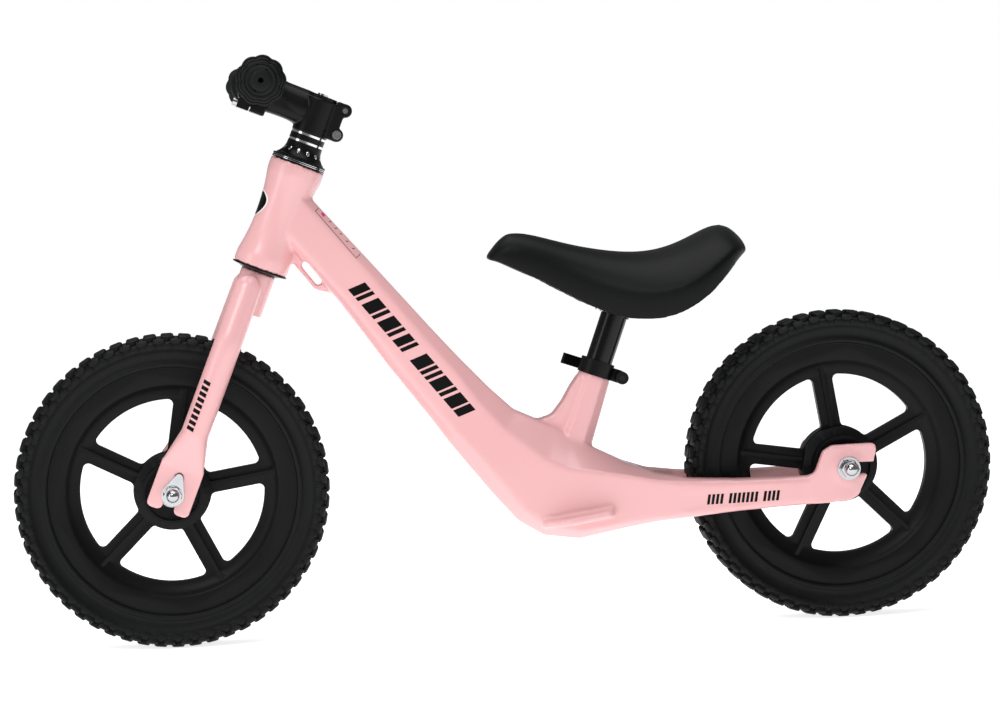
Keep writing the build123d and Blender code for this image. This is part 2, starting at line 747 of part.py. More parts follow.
def socket_screw(plane, shank_radius, length, head_radius, head_height, key):
    """A socket head screw with its head standing on the plane and its shank below it."""
    with BuildPart() as piece:
        with BuildSketch(plane):
            Circle(head_radius)
        extrude(amount=head_height)
        with BuildSketch(plane):
            Circle(shank_radius)
        extrude(amount=-length)
        with BuildSketch(plane.offset(head_height)):
            RegularPolygon(key, 6)
        extrude(amount=-head_height * 0.7, mode=Mode.SUBTRACT)
    return piece.part


def group(name, members):
    """Separate solids that share one node."""
    together = Compound(children=members)
    together.label = name
    export_step(together, f"parts/{name}.step")


face_screws = []
for y, rise in face_bolt_spots:
    seat = arm_plane.origin + up_steer * rise + forward * (stem_reach + face_pad_length) + left * y
    face_screws.append(socket_screw(Plane(origin=seat, z_dir=forward), face_bolt_radius, 22, 4.0, 4, 2.3))
group("faceplate_bolts", face_screws)

ear_screws = []
for level, facing in zip(ear_levels, (1, -1)):
    seat = steer_origin + up_steer * level - forward * ear_bolt_reach + left * (10 * facing)
    ear_screws.append(socket_screw(Plane(origin=seat, z_dir=left * facing), ear_bolt_radius, 19, 4.3, 4, 2.3))
group("stem_clamp_bolts", ear_screws)

cap_base = stem_top
with BuildPart() as top_cap:
    with BuildSketch(steer_base.offset(cap_base)):
        Circle(top_cap_radius)
        Circle(3.1, mode=Mode.SUBTRACT)
    extrude(amount=top_cap_height)
    with BuildSketch(steer_base.offset(cap_base + top_cap_height)):
        Circle(5.4)
    extrude(amount=-1.6, mode=Mode.SUBTRACT)
top_cap.part.label = "top_cap"
export_step(top_cap.part, "parts/top_cap.step")

nut_level = stem_top - 26
with BuildPart() as star_nut:
    with BuildSketch(steer_base.offset(nut_level)):
        Circle(steerer_inner)
        Circle(3.0, mode=Mode.SUBTRACT)
    extrude(amount=1.2)
    with BuildSketch(steer_base.offset(nut_level - 8)):
        Circle(6)
        Circle(3.0, mode=Mode.SUBTRACT)
    extrude(amount=8)
    with BuildSketch(steer_base.offset(nut_level - 8)):
        Circle(steerer_inner)
        Circle(3.0, mode=Mode.SUBTRACT)
    extrude(amount=1.2)
star_nut.part.label = "star_nut"
export_step(star_nut.part, "parts/star_nut.step")

cap_screw_plane = steer_base.offset(cap_base + top_cap_height - 1.6)
cap_screw_length = cap_base + top_cap_height - 1.6 - nut_level + 8
top_cap_bolt = socket_screw(cap_screw_plane, 3.0, cap_screw_length, 5.0, 3.4, 2.9)
top_cap_bolt.label = "top_cap_bolt"
export_step(top_cap_bolt, "parts/top_cap_bolt.step")

# ------------------------------------------------------------------ handlebar and grips
bar_middle = steer_origin + up_steer * bar_level + forward * stem_reach
bar_end = bar_middle + up_steer * bar_rise + forward * bar_forward
rise_from = 34.0
rise_to = 78.0
bar_points = [
    bar_end - left * bar_half_width,
    bar_end - left * rise_to,
    bar_middle - left * rise_from,
    bar_middle + left * rise_from,
    bar_end + left * rise_to,
    bar_end + left * bar_half_width,
]
with BuildPart() as handlebar:
    with BuildLine() as bar_path:
        FilletPolyline(*bar_points, radius=90)
    with BuildSketch(Plane(origin=bar_points[0], z_dir=left)):
        Circle(bar_radius)
        Circle(bar_radius - bar_wall, mode=Mode.SUBTRACT)
    sweep()
handlebar.part.label = "handlebar"
export_step(handlebar.part, "parts/handlebar.step")


def make_grip(side):
    """A rubber grip with a lobed safety flange, closed at the bar's end."""
    outward = left * side
    end = bar_end + outward * bar_half_width
    flange = Plane(origin=end - outward * 6, x_dir=up_steer, z_dir=outward)
    inner_end = Plane(origin=end - outward * grip_length, x_dir=up_steer, z_dir=outward)
    with BuildPart() as piece:
        with BuildSketch(inner_end):
            Circle(grip_radius)
        extrude(amount=grip_length)
        with BuildSketch(inner_end):
            Circle(grip_end_radius - 2.5)
        extrude(amount=4.5)
        with BuildSketch(flange):
            Circle(grip_end_radius)
            with PolarLocations(grip_end_radius + 3.6, grip_lobes, start_angle=30):
                Circle(5.2, mode=Mode.SUBTRACT)
        extrude(amount=6)
        with BuildSketch(flange.offset(6)):
            Circle(grip_end_radius - 5)
        extrude(amount=grip_end_wall)
        for step in range(5):
            with BuildSketch(inner_end.offset(12 + step * 14)):
                Circle(grip_radius + 1.4)
            extrude(amount=7)
        with BuildSketch(inner_end):
            Circle(bar_radius)
        extrude(amount=grip_length, mode=Mode.SUBTRACT)
        with BuildSketch(flange.offset(6 + grip_end_wall)):
            Circle(2.1)
        extrude(amount=-grip_end_wall, mode=Mode.SUBTRACT)
    return piece.part


left_grip = make_grip(1)
left_grip.label = "left_grip"
export_step(left_grip, "parts/left_grip.step")
right_grip = make_grip(-1)
right_grip.label = "right_grip"
export_step(right_grip, "parts/right_grip.step")

# ------------------------------------------------------------------ wheels
axle_gap = 0.2


def wheel_section(centre):
    """Plane through the wheel's axis: x along the axle, y up."""
    return Plane(origin=centre, x_dir=left, z_dir=(1, 0, 0))


def make_rim(centre, phase):
    """One-piece nylon wheel: tyre band, inner barrel, five ribbed spokes and a hub with bearing seats."""
    face = across(centre, 0)
    axis = Axis(centre, left)
    band = rim_band_width / 2
    web = spoke_web / 2
    flange = hub_flange_width / 2
    seat = hub_half - bearing_width
    bore = sleeve_outer / 2 + 1.5
    cup_out = hub_barrel_radius - hub_wall
    cup_in = bearing_outer / 2 + hub_wall
    half_profile = [
        (bore, 0), (bore, seat), (bearing_outer / 2, seat), (bearing_outer / 2, hub_half), (cup_in, hub_half),
        (cup_in, hub_half - 4), (cup_out, hub_half - 4), (cup_out, hub_half), (hub_barrel_radius, hub_half),
        (hub_barrel_radius, flange), (hub_flange_radius, flange - 1), (hub_flange_radius, web),
        (rim_inner_radius, web), (rim_inner_radius + 3, web + 0.6), (rim_dish_radius, web + 2.6),
        (rim_band_inner_radius - 3.5, band - 3.2), (rim_band_inner_radius - 1.5, band - 0.6),
        (rim_band_inner_radius, band), (tyre_seat_radius, band),
        (tyre_seat_radius, band - 4), (tyre_seat_radius - 3, band - 5), (tyre_seat_radius - 3, 0),
    ]
    with BuildPart() as piece:
        with BuildSketch(wheel_section(centre)):
            near = [(y, r) for r, y in half_profile]
            Polygon(*near, *[(-y, r) for y, r in reversed(near[1:-1])], align=None)
        revolve(axis=axis)
        with BuildSketch(face) as windows:
            Circle(rim_inner_radius - window_lip)
            Circle(hub_flange_radius + window_lip, mode=Mode.SUBTRACT)
            with PolarLocations(rim_inner_radius / 2, spoke_count, start_angle=phase):
                Rectangle(rim_inner_radius * 1.2, spoke_width, mode=Mode.SUBTRACT)
            fillet(windows.vertices(), window_corner)
        extrude(amount=tyre_width, both=True, mode=Mode.SUBTRACT)
        with BuildSketch(face):
            with PolarLocations((rim_inner_radius + hub_flange_radius) / 2, spoke_count, start_angle=phase):
                Rectangle(rim_inner_radius - hub_flange_radius + 22, spoke_rib_width)
        extrude(amount=spoke_rib_depth / 2, both=True)
    return piece.part


def make_tyre(centre):
    """Foam tyre: bead in the rim's channel, rounded shoulders and a low crown."""
    band = rim_band_width / 2
    half = tyre_width / 2
    outer = wheel_diameter / 2
    height = outer - tyre_seat_radius
    seat = tyre_seat_radius
    shoulder = (half - 1.5, outer - 0.14 * height)
    half_side = [
        (band - 5, seat - 3), (band - 4, seat), (band, seat), (band + 2.5, seat + 0.05 * height),
        (band + 4, seat + 0.16 * height), (band + 4.4, seat + 0.36 * height),
        (half - 2, seat + 0.55 * height), (half, seat + 0.68 * height), shoulder,
    ]
    far_side = [(-y, r) for y, r in reversed(half_side)]
    with BuildPart() as piece:
        with BuildSketch(wheel_section(centre)):
            with BuildLine():
                Polyline(*half_side)
                ThreePointArc(shoulder, (0, outer), far_side[0])
                Polyline(*far_side, half_side[0])
            make_face()
        revolve(axis=Axis(centre, left))
    return piece.part


def cap_nut(plane):
    """A domed hexagon nut, open at its seat for the axle's end."""
    with BuildPart() as piece:
        with BuildSketch(plane):
            Circle(nut_across_flats / 2 + 1.5)
        extrude(amount=1.2)
        with BuildSketch(plane):
            RegularPolygon(nut_across_flats / 2, 6, major_radius=False)
        extrude(amount=nut_hex_height)
        with BuildSketch(plane.offset(nut_hex_height)):
            Circle(nut_dome_radius)
        extrude(amount=2.5)
        with Locations(plane.offset(nut_hex_height + 2.5)):
            Sphere(nut_dome_radius)
        with BuildSketch(plane):
            Circle(axle_radius)
        extrude(amount=axle_thread_in_nut, mode=Mode.SUBTRACT)
    return piece.part


for name, centre, phase, inner, outer in (
    ("front", front_axle, front_spoke_phase, front_dropout_inner, front_outer),
    ("rear", rear_axle_point, rear_spoke_phase, rear_dropout_inner, rear_outer),
):
    group(f"{name}_rim", [make_rim(centre, phase)])
    group(f"{name}_tyre", [make_tyre(centre)])
    near_bearing = ball_bearing(
        across(centre, hub_half - bearing_width), bearing_outer / 2, axle_radius + running, bearing_width)
    group(f"{name}_bearings", [near_bearing, near_bearing.mirror(Plane.XZ)])
    axle_end = outer + washer_thickness + axle_thread_in_nut
    with BuildPart() as axle:
        with BuildSketch(across(centre, 0)):
            Circle(axle_radius)
        extrude(amount=axle_end, both=True)
    group(f"{name}_axle", [axle.part])
    sleeve_half = hub_half - bearing_width - axle_gap
    sleeve = ring(across(centre, -sleeve_half), sleeve_outer / 2, axle_radius, 2 * sleeve_half)
    group(f"{name}_hub_sleeve", [sleeve])
    near_spacer = ring(
        across(centre, hub_half + axle_gap), spacer_outer / 2, axle_radius, inner - hub_half - axle_gap)
    group(f"{name}_axle_spacers", [near_spacer, near_spacer.mirror(Plane.XZ)])
    near_nut = cap_nut(across(centre, outer + washer_thickness))
    group(f"{name}_axle_nuts", [near_nut, near_nut.mirror(Plane.XZ)])

near_washer = ring(across(rear_axle_point, rear_outer), rear_washer_radius, axle_radius, washer_thickness)
group("rear_axle_washers", [near_washer, near_washer.mirror(Plane.XZ)])

with BuildPart() as tab_washer:
    # teardrop washer whose tab hooks into the hole above the slot
    with BuildSketch(Plane(origin=steer_origin + left * front_outer, x_dir=forward, z_dir=left)):
        with Locations((fork_rake, 0)):
            Circle(10.5)
        with Locations((fork_rake, -tab_hole_height)):
            Circle(3.6)
        make_hull()
        with Locations((fork_rake, 0)):
            Circle(axle_radius, mode=Mode.SUBTRACT)
    extrude(amount=washer_thickness)
    with BuildSketch(Plane(origin=steer_origin + left * front_outer, x_dir=forward, z_dir=left)):
        with Locations((fork_rake, -tab_hole_height)):
            Circle(tab_hole_radius - 0.4)
    extrude(amount=-3)
group("front_tab_washers", [tab_washer.part, tab_washer.part.mirror(Plane.XZ)])

# ------------------------------------------------------------------ seat clamp
collar_inner = post_radius + running + seat_neck_wall + 0.05
collar_outer = collar_inner + collar_wall
with BuildPart() as seat_clamp_collar:
    with BuildSketch(seat_base):
        Circle(collar_outer)
        with Locations((-clamp_ear_reach / 2 - 2, 0)):
            Rectangle(clamp_ear_reach + 4, 2 * clamp_ear_width)
    extrude(amount=collar_height)
    with BuildSketch(seat_side):
        with Locations((-clamp_ear_reach, clamp_bolt_height)):
            Rectangle(20, 60)
            Circle(6, mode=Mode.SUBTRACT)
            with Locations((7, 0)):
                Rectangle(14, 12, mode=Mode.SUBTRACT)
    extrude(amount=30, both=True, mode=Mode.SUBTRACT)
    with BuildSketch(seat_base):
        Circle(collar_inner)
        with Locations((-clamp_ear_reach, 0)):
            Rectangle(2 * clamp_ear_reach, 3.0)
    extrude(amount=collar_height, mode=Mode.SUBTRACT)
    with BuildSketch(seat_side):
        with Locations((-clamp_ear_reach, clamp_bolt_height)):
            Circle(clamp_bolt_radius)
    extrude(amount=30, both=True, mode=Mode.SUBTRACT)
seat_clamp_collar.part.label = "seat_clamp_collar"
export_step(seat_clamp_collar.part, "parts/seat_clamp_collar.step")

pin_radius = 2.2
eye_radius = 4.6
eye_height = 5.0
pivot = seat_origin - seat_forward * clamp_ear_reach - left * clamp_pivot_out
pivot_plane = Plane(origin=pivot, x_dir=seat_forward, z_dir=up_seat)
skewer_middle = seat_origin - seat_forward * clamp_ear_reach + up_seat * clamp_bolt_height
skewer_side = Plane(origin=skewer_middle, x_dir=seat_forward, z_dir=left)
with BuildPart() as seat_clamp_skewer:
    with BuildSketch(skewer_side.offset(-clamp_pivot_out)):
        Circle(clamp_bolt_radius)
    extrude(amount=clamp_pivot_out + clamp_ear_width + 7)
    with BuildSketch(pivot_plane.offset(clamp_bolt_height - eye_height / 2)):
        Circle(eye_radius)
    extrude(amount=eye_height)
    with BuildSketch(pivot_plane.offset(clamp_bolt_height - eye_height / 2)):
        Circle(pin_radius)
    extrude(amount=eye_height, mode=Mode.SUBTRACT)
seat_clamp_skewer.part.label = "seat_clamp_skewer"
export_step(seat_clamp_skewer.part, "parts/seat_clamp_skewer.step")

with BuildPart() as seat_clamp_nut:
    with BuildSketch(skewer_side.offset(clamp_ear_width)):
        Circle(6.0)
        Circle(clamp_bolt_radius, mode=Mode.SUBTRACT)
    extrude(amount=7)
seat_clamp_nut.part.label = "seat_clamp_nut"
export_step(seat_clamp_nut.part, "parts/seat_clamp_nut.step")

lever_low = clamp_bolt_height - lever_height / 2
with BuildPart() as seat_clamp_cam_pin:
    with BuildSketch(pivot_plane.offset(lever_low)):
        Circle(pin_radius)
    extrude(amount=lever_height)
seat_clamp_cam_pin.part.label = "seat_clamp_cam_pin"
export_step(seat_clamp_cam_pin.part, "parts/seat_clamp_cam_pin.step")

cheek_radius = 6.2
with BuildPart() as seat_clamp_lever:
    # arm that wraps round the collar, drawn from the pivot
    with BuildSketch(pivot_plane.offset(lever_low)):
        Circle(cheek_radius)
        with BuildLine():
            ThreePointArc((-3, -5.4), (22, -11.6), (clamp_ear_reach + lever_reach, -4.5))
            Line((clamp_ear_reach + lever_reach, -4.5), (clamp_ear_reach + lever_reach, -0.5))
            ThreePointArc((clamp_ear_reach + lever_reach, -0.5), (24, -7.4), (3, -2.0))
            Line((3, -2.0), (-3, -5.4))
        make_face()
    extrude(amount=lever_height)
    fillet(edges().filter_by(Axis(pivot, up_seat)).sort_by(Axis.X)[-2:], 1.5)
    # room between the cheeks for the skewer's eye and shank
    with BuildSketch(pivot_plane.offset(clamp_bolt_height - eye_height / 2 - gap)):
        Circle(cheek_radius + 1.2)
    extrude(amount=eye_height + 2 * gap, mode=Mode.SUBTRACT)
    with BuildSketch(pivot_plane.offset(lever_low)):
        Circle(pin_radius + running)
    extrude(amount=lever_height, mode=Mode.SUBTRACT)
seat_clamp_lever.part.label = "seat_clamp_lever"
export_step(seat_clamp_lever.part, "parts/seat_clamp_lever.step")

# ------------------------------------------------------------------ seat post and saddle
bracket_point = seat_origin + up_seat * post_above_rim
bracket_level = bracket_point.Z
bracket_x = bracket_point.X
with BuildPart() as seat_post:
    with BuildSketch(seat_base.offset(-post_below_rim)):
        Circle(post_radius)
        Circle(post_radius - post_wall, mode=Mode.SUBTRACT)
    extrude(amount=post_below_rim + post_above_rim + 10)
    split(bisect_by=Plane.XY.offset(bracket_level), keep=Keep.BOTTOM)
seat_post.part.label = "seat_post"
export_step(seat_post.part, "parts/seat_post.step")

with BuildPart() as saddle_bracket:
    with BuildSketch(seat_base.offset(post_above_rim - bracket_socket_length)):
        Circle(post_radius + bracket_socket_wall)
        Circle(post_radius, mode=Mode.SUBTRACT)
    extrude(amount=bracket_socket_length + 10)
    split(bisect_by=Plane.XY.offset(bracket_level), keep=Keep.BOTTOM)
    with BuildSketch(Plane.XY.offset(bracket_level)):
        with Locations((bracket_x, 0)):
            RectangleRounded(bracket_plate_length, bracket_plate_width, 6)
            with GridLocations(bracket_plate_length - 14, bracket_plate_width - 14, 2, 2):
                Circle(bracket_bolt_radius, mode=Mode.SUBTRACT)
    extrude(amount=bracket_thickness)
saddle_bracket.part.label = "saddle_bracket"
export_step(saddle_bracket.part, "parts/saddle_bracket.step")

# from the bracket's middle: distance ahead, top, lower edge, half width
saddle_stations = [
    (123.1, 60.7, 48.7, 9),
    (112.1, 69.7, 44.7, 17),
    (83.1, 71.2, 31.2, 23),
    (48.1, 61.7, 12.2, 30),
    (8.1, 53.5, -6.3, 45),
    (-31.9, 52.2, -10.3, 62),
    (-66.9, 62.2, 2.7, 69),
    (-96.9, 74.2, 28.7, 62),
    (-118.9, 60.7, 48.7, 38),
]


def saddle_plane(ahead):
    """An upright plane across the saddle, ahead of the bracket's middle."""
    return Plane(origin=bracket_point + Vector(ahead, 0, 0), x_dir=left, z_dir=(1, 0, 0))


def pad_section(station):
    """A crowned section of the saddle: domed top, rounded flanks and a flat lower edge."""
    ahead, top, low, half_width = station
    middle = low + (top - low) * 0.42
    with BuildSketch(saddle_plane(ahead)) as outline:
        with BuildLine():
            ThreePointArc((-half_width, middle), (0, top), (half_width, middle))
            ThreePointArc(
                (half_width, middle), (half_width * 0.99, (middle + low) / 2), (half_width * 0.93, low))
            Line((half_width * 0.93, low), (-half_width * 0.93, low))
            ThreePointArc(
                (-half_width * 0.93, low), (-half_width * 0.99, (middle + low) / 2), (-half_width, middle))
        make_face()
    return outline.sketch


def pan_section(station, base, height, inset):
    """A flat section inside the skirt, standing on a height above the lower edge."""
    ahead, top, low, half_width = station
    half = half_width * 0.93 - inset
    with BuildSketch(saddle_plane(ahead)) as outline:
        with Locations((0, low + base)):
            Rectangle(2 * half, height, align=(Align.CENTER, Align.MIN))
    return outline.sketch


pan_stations = saddle_stations[2:-1]
with BuildPart() as pan_space:
    pan_depth = 8 + pan_recess + pan_thickness
    add([pan_section(station, -8, pan_depth, pan_inset) for station in pan_stations])
    loft()

with BuildPart() as saddle_pad:
    add([pad_section(station) for station in saddle_stations])
    loft()
    add(pan_space.part, mode=Mode.SUBTRACT)
saddle_pad.part.label = "saddle_pad"
export_step(saddle_pad.part, "parts/saddle_pad.step")

plate_top = bracket_level + bracket_thickness
with BuildPart() as saddle_base:
    add([pan_section(station, pan_recess, pan_thickness, pan_inset + 0.1) for station in pan_stations])
    loft()
    with BuildSketch(Plane.XY.offset(plate_top)):
        with Locations((bracket_x, 0)):
            RectangleRounded(bracket_plate_length + 4, bracket_plate_width + 4, 7)
    extrude(amount=60)
    add([pan_section(station, pan_recess + pan_thickness, 60, -20) for station in pan_stations])
    loft(mode=Mode.SUBTRACT)
    with BuildSketch(Plane.XY.offset(plate_top)):
        with Locations((bracket_x, 0)):
            with GridLocations(bracket_plate_length - 14, bracket_plate_width - 14, 2, 2):
                Circle(bracket_bolt_radius)
    extrude(amount=60, mode=Mode.SUBTRACT)
saddle_base.part.label = "saddle_base"
export_step(saddle_base.part, "parts/saddle_base.step")

saddle_screws = []
for location in GridLocations(bracket_plate_length - 14, bracket_plate_width - 14, 2, 2):
    spot = Vector(bracket_x, 0, bracket_level) + location.position
    under = Plane(origin=spot, x_dir=(1, 0, 0), z_dir=(0, 0, -1))
    saddle_screws.append(socket_screw(under, bracket_bolt_radius, 5.0, 4.2, 3, 2.3))
group("saddle_bolts", saddle_screws)
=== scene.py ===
"""Looks of a toddler's balance bike: painted casting, moulded wheels, foam tyres, bar, grips and saddle."""
import json
import math

import bmesh
import bpy
from mathutils import Matrix, Vector


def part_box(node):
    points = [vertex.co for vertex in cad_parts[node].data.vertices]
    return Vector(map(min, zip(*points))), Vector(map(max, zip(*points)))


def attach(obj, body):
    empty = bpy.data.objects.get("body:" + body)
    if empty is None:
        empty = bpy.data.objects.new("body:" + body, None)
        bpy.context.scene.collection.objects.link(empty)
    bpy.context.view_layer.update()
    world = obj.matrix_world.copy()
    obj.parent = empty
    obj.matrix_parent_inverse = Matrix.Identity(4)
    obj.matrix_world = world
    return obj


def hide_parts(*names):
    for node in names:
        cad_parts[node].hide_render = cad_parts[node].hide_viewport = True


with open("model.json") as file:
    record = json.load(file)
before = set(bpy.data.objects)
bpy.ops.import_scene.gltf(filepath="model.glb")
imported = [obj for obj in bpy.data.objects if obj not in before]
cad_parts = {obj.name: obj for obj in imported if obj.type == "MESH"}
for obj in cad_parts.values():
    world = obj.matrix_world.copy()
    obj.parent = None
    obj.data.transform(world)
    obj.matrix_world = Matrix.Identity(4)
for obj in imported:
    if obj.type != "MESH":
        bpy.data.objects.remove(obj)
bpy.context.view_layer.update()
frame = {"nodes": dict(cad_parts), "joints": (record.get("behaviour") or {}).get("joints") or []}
NODES = frame["nodes"]
MM = 0.001

LEFT = Vector((0, 1, 0))
UP = Vector((0, 0, 1))


def middle(node):
    """The middle of a node's box."""
    low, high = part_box(node)
    return (low + high) / 2


FRONT_AXLE = middle("front_rim")
REAR_AXLE = middle("rear_rim")
STEERING = next(joint for joint in frame["joints"] if joint["name"] == "steering")
STEER_BASE = Vector(STEERING["pos_m"])
STEER_UP = Vector(STEERING["axis"]).normalized()
STEER_OUT = LEFT.cross(STEER_UP)


# ------------------------------------------------------------------ materials
def colour(code):
    """A hex sRGB colour as linear red, green, blue and alpha."""
    parts = [int(code[i:i + 2], 16) / 255 for i in (1, 3, 5)]
    return [c / 12.92 if c <= 0.04045 else ((c + 0.055) / 1.055) ** 2.4 for c in parts] + [1.0]


def add_node(tree, kind, settings=None, links=None):
    """Adds a node. A setting or a link is named by the socket's name or number, or by the property's name."""
    made = tree.nodes.new(kind)
    for name, value in (settings or {}).items():
        if isinstance(name, str) and name not in made.inputs:
            setattr(made, name, value)
        else:
            made.inputs[name].default_value = value
    for name, source in (links or {}).items():
        tree.links.new(source, made.inputs[name])
    return made


def surface(name, main, second, patch, grain, depth, roughness, spread=0.05, **shader_settings):
    """A finish: two close colours in patches, and a grain. patch, grain and depth are in millimetres."""
    material = bpy.data.materials.new(name)
    material.use_nodes = True
    tree = material.node_tree
    shader = tree.nodes["Principled BSDF"]
    for socket, value in shader_settings.items():
        shader.inputs[socket.replace("_", " ")].default_value = value
    place = add_node(tree, "ShaderNodeTexCoord").outputs["Object"]
    patches, grains = [
        add_node(tree, "ShaderNodeTexNoise", {"Scale": 1 / (size * MM), "Detail": detail}, {"Vector": place})
        for size, detail in ((patch, 3.0), (grain, 2.0))]
    tint = add_node(tree, "ShaderNodeMix", {"data_type": "RGBA", 6: colour(main), 7: colour(second)},
                    {0: patches.outputs["Fac"]})
    dullness = add_node(tree, "ShaderNodeMapRange",
                        {"From Min": 0.3, "From Max": 0.7,
                         "To Min": roughness - spread, "To Max": roughness + spread},
                        {"Value": grains.outputs["Fac"]})
    bump = add_node(tree, "ShaderNodeBump", {"Strength": 1.0, "Distance": depth * MM},
                    {"Height": grains.outputs["Fac"]})
    tree.links.new(tint.outputs[2], shader.inputs["Base Color"])
    tree.links.new(dullness.outputs["Result"], shader.inputs["Roughness"])
    tree.links.new(bump.outputs["Normal"], shader.inputs["Normal"])
    return material


# Powder coat under a clear coat, baked on: soft broad highlights with faint orange peel.
pink_paint = surface("painted magnesium, clear coated", "#e7b0b1", "#e5acae", 60, 1.6, 0.006, 0.36, 0.03,
                     IOR=1.5, Coat_Weight=0.5, Coat_Roughness=0.12)
# Injection-moulded nylon with a spark-eroded grain: black with a satin sheen.
nylon = surface("injection-moulded nylon", "#070708", "#0a0b0b", 25, 0.7, 0.04, 0.42, 0.06, IOR=1.53,
                Specular_IOR_Level=0.14)
# Moulded closed-cell EVA foam: matt, with a fine open skin.
eva_foam = surface("moulded EVA foam", "#0b0c0c", "#101112", 12, 0.9, 0.06, 0.52, 0.08, IOR=1.5,
                   Specular_IOR_Level=0.16)
# Thermoplastic rubber: matt and slightly grey where the tool was blasted.
grip_rubber = surface("moulded thermoplastic rubber", "#0c0d0d", "#101111", 8, 0.6, 0.03, 0.5, 0.07, IOR=1.52,
                      Specular_IOR_Level=0.16)
# Integral-skin polyurethane foam: a matt leathery skin.
skin_foam = surface("integral-skin polyurethane foam", "#060707", "#080909", 30, 0.9, 0.05, 0.46, 0.05,
                    IOR=1.5, Specular_IOR_Level=0.13, Sheen_Weight=0.05, Sheen_Roughness=0.35)
# Forged aluminium, shot-blasted and anodised black: satin.
black_anodised = surface("black anodised aluminium", "#08080a", "#0b0b0d", 10, 0.5, 0.01, 0.33, 0.05, IOR=1.5,
                         Specular_IOR_Level=0.16)
# Steel tube, stove enamelled: smooth and glossy.
black_enamel = surface("stove-enamelled steel", "#060606", "#0a0a0a", 20, 1.5, 0.004, 0.2, 0.03, IOR=1.5,
                       Specular_IOR_Level=0.25)
# Turned and polished aluminium.
bright_aluminium = surface("polished aluminium", "#dcdcde", "#f0f0f0", 6, 0.5, 0.004, 0.16, 0.05,
                           Metallic=1.0)
# Nickel and chrome plated steel: a near mirror.
chrome = surface("chrome-plated steel", "#a9abae", "#bcbec1", 8, 0.8, 0.003, 0.1, 0.04, Metallic=1.0)
# Zinc-plated steel: paler and duller than chrome.
zinc = surface("zinc-plated steel", "#a9abad", "#bcbdbf", 6, 0.5, 0.006, 0.3, 0.08, Metallic=1.0)
# Screen-printed black ink under the clear coat.
black_ink = surface("printed ink under lacquer", "#060505", "#0a0909", 12, 1.6, 0.004, 0.34, 0.03, IOR=1.5,
                    Specular_IOR_Level=0.12)
pale_ink = surface("pale printed label", "#e9e6e6", "#f2efef", 12, 1.6, 0.004, 0.34, 0.03, IOR=1.5)
magenta_ink = surface("coloured printed label", "#e23a86", "#d8317c", 6, 1.6, 0.004, 0.34, 0.03, IOR=1.5)


# ------------------------------------------------------------------ making pieces
def settle(mesh_maker, name, material, body, angle=35):
    """Turns a bmesh into a shown piece that rides on a body."""
    mesh = bpy.data.meshes.new(name)
    mesh_maker.to_mesh(mesh)
    mesh_maker.free()
    mesh.shade_smooth()
    mesh.set_sharp_from_angle(angle=math.radians(angle))
    mesh.materials.append(material)
    piece = bpy.data.objects.new(name, mesh)
    bpy.context.scene.collection.objects.link(piece)
    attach(piece, body)
    return piece


def closed_up(bm):
    """Merges doubles and turns the faces outwards."""
    bmesh.ops.remove_doubles(bm, verts=bm.verts[:], dist=1e-6)
    bmesh.ops.recalc_face_normals(bm, faces=bm.faces[:])
    return bm


def turned(profile, base, axis, side, steps):
    """Spins a line of (along, radius) points, in mm, about an axis. side is where the spin starts."""
    bm = bmesh.new()
    points = [bm.verts.new(base + axis * along * MM + side * radius * MM) for along, radius in profile]
    edges = [bm.edges.new(pair) for pair in zip(points, points[1:])]
    bmesh.ops.spin(bm, geom=points + edges, cent=base, axis=axis, angle=math.tau, steps=steps, use_merge=True)
    return closed_up(bm)


def loops(rings, plane, count=144):
    """Bridges closed rings: (height, radius) or (height, radius, scallops, depth), in mm on a matrix."""
    bm = bmesh.new()
    last = None
    for number, (height, radius, *scalloped) in enumerate(rings):
        lobes, depth = scalloped or (0, 0)
        made = bmesh.ops.create_circle(bm, cap_ends=False, segments=count, radius=1.0)["verts"]
        for vert in made:
            turn = math.atan2(vert.co.y, vert.co.x)
            reach = (radius + depth * (2 * abs(math.cos(lobes * turn / 2)) - 1)) * MM
            vert.co = (reach * math.cos(turn), reach * math.sin(turn), height * MM)
        ring = [edge for edge in bm.edges if all(vert in made for vert in edge.verts)]
        if number in (0, len(rings) - 1):
            bmesh.ops.contextual_create(bm, geom=made)
        if last:
            bmesh.ops.bridge_loops(bm, edges=last + ring)
        last = ring
    bmesh.ops.transform(bm, matrix=plane, verts=bm.verts[:])
    return closed_up(bm)


def frame_of(origin, out):
    """A matrix that takes +Z to a direction and the origin to a point."""
    return Matrix.Translation(origin) @ out.to_track_quat("Z", "Y").to_matrix().to_4x4()


def solid_copy(node):
    """A merged copy of a solid's mesh."""
    bm = bmesh.new()
    bm.from_mesh(NODES[node].data)
    bmesh.ops.remove_doubles(bm, verts=bm.verts[:], dist=1e-6)
    return bm


def applied(piece):
    """Applies a piece's modifiers."""
    evaluated = piece.evaluated_get(bpy.context.evaluated_depsgraph_get())
    mesh = bpy.data.meshes.new_from_object(evaluated)
    piece.modifiers.clear()
    piece.data = mesh
    return piece


def melted(node, material, body, voxel, rounds, name=None, extra=None):
    """A cast or forged piece: the solid, and any body added to it, with edges and inner corners melted round.

    voxel, in millimetres, is the finest detail that stays. rounds is how many times the surface is smoothed.
    """
    bm = solid_copy(node)
    if extra:
        added = bpy.data.meshes.new("extra")
        extra.to_mesh(added)
        extra.free()
        bm.from_mesh(added)
    piece = settle(bm, name or node + "_skin", material, body, 180)
    remesh = piece.modifiers.new("fill", "REMESH")
    remesh.mode = "VOXEL"
    remesh.voxel_size = voxel * MM
    remesh.use_smooth_shade = True
    smooth = piece.modifiers.new("melt", "SMOOTH")
    smooth.factor = 0.5
    smooth.iterations = rounds
    applied(piece)
    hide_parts(node)
    return piece


